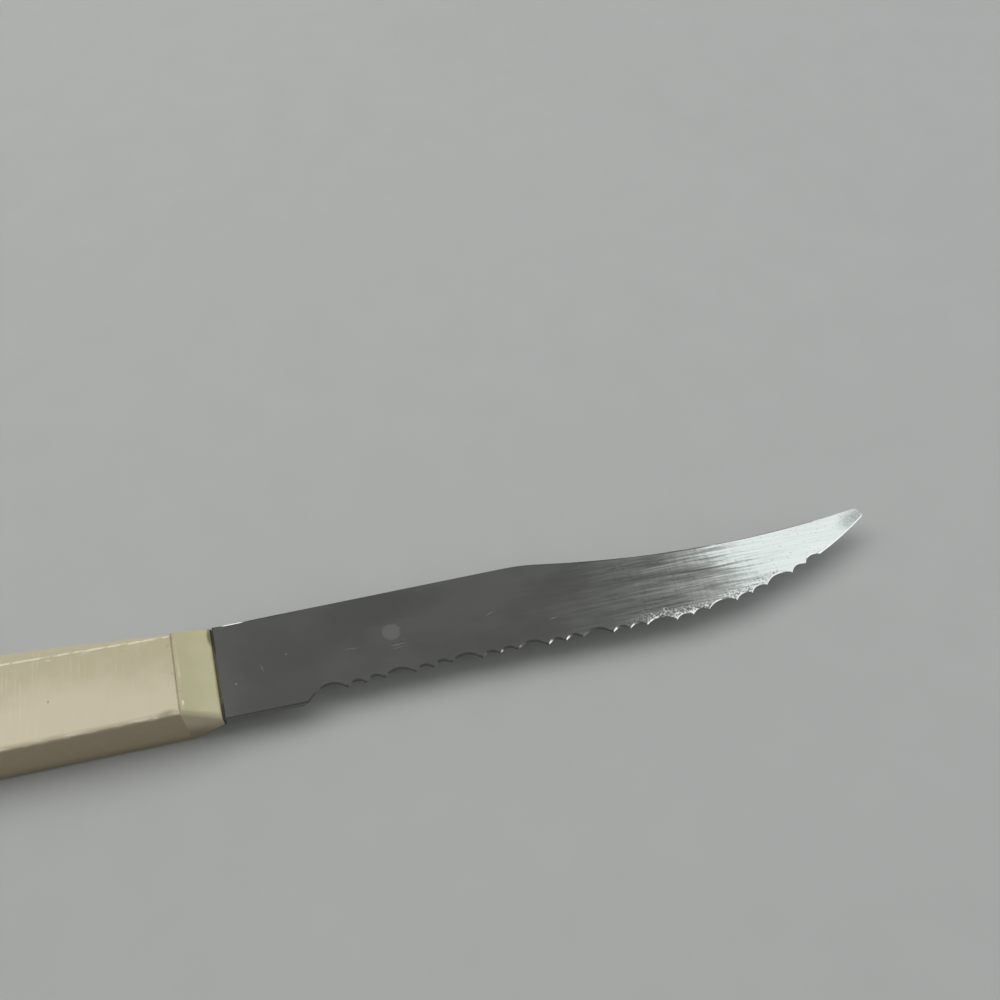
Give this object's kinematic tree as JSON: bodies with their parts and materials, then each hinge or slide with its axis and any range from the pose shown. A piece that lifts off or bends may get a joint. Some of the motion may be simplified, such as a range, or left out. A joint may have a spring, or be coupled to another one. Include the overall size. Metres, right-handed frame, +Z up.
{
  "type": "serrated kitchen knife",
  "caption": "Small serrated kitchen knife: stamped steel blade with an upswept tip and scalloped edge, wedge collar and ivory plastic handle scales over a hidden tang.",
  "frame": {"origin": "middle of the knife's footprint, on the surface that it lies on", "axes": "+X along the knife to the tip, +Y from the cutting edge to the spine, +Z up through the thickness as the knife lies on its back face"},
  "size_m": [0.226, 0.021, 0.0104],
  "materials": {
    "blade_steel": "fine brushed stainless with the brushing along the blade",
    "collar_plastic": "smooth yellowed ivory plastic",
    "handle_plastic": "satin ivory plastic with fine rubbing marks across the handle",
    "pin_steel": "plain drawn steel",
    "seal_resin": "dark brown bedding resin"
  },
  "bodies": {
    "root": {"blade": "blade_steel", "collar": "collar_plastic", "front_scale": "handle_plastic", "back_scale": "handle_plastic", "front_tang_pin": "pin_steel", "middle_tang_pin": "pin_steel", "rear_tang_pin": "pin_steel", "mouth_seal": "seal_resin"}
  },
  "joints": []
}
